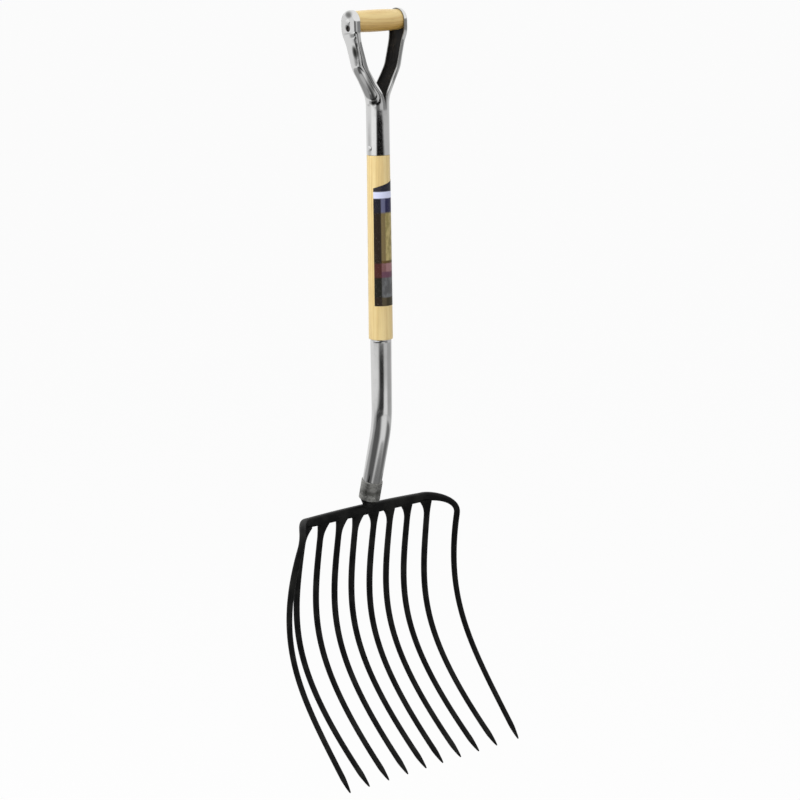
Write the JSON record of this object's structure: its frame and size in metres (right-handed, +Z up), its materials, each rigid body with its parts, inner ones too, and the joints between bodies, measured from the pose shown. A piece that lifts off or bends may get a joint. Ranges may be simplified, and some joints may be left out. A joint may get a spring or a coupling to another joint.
{
  "type": "ensilage fork",
  "caption": "Long handled fork with a wide row of round curved tines, a bent steel neck, a short wooden shaft and a D handle of split steel tube with a wooden grip.",
  "frame": {"origin": "under the middle of the wooden grip, where a rail or hook would carry the hanging fork", "axes": "+Z up along the shaft with the tines hanging down, X along the crossbar and the grip, -Y the side that the tines curve towards"},
  "size_m": [0.3736, 0.1743, 1.16],
  "materials": {
    "chromed_steel": "polished",
    "ash_wood": "satin varnish",
    "black_enamel": "semi gloss",
    "grey_steel": "dull"
  },
  "bodies": {
    "root": {"handle_yoke": "chromed_steel", "wood_grip": "ash_wood", "grip_rivet": "chromed_steel", "socket_rivet": "chromed_steel", "wood_shaft": "ash_wood", "neck_tube": "chromed_steel", "neck_rivet": "chromed_steel", "socket_collar": "grey_steel", "head_bow": "black_enamel", "inner_tine_1": "black_enamel", "inner_tine_2": "black_enamel", "inner_tine_3": "black_enamel", "inner_tine_4": "black_enamel", "inner_tine_5": "black_enamel", "inner_tine_6": "black_enamel", "inner_tine_7": "black_enamel", "inner_tine_8": "black_enamel"}
  },
  "joints": []
}
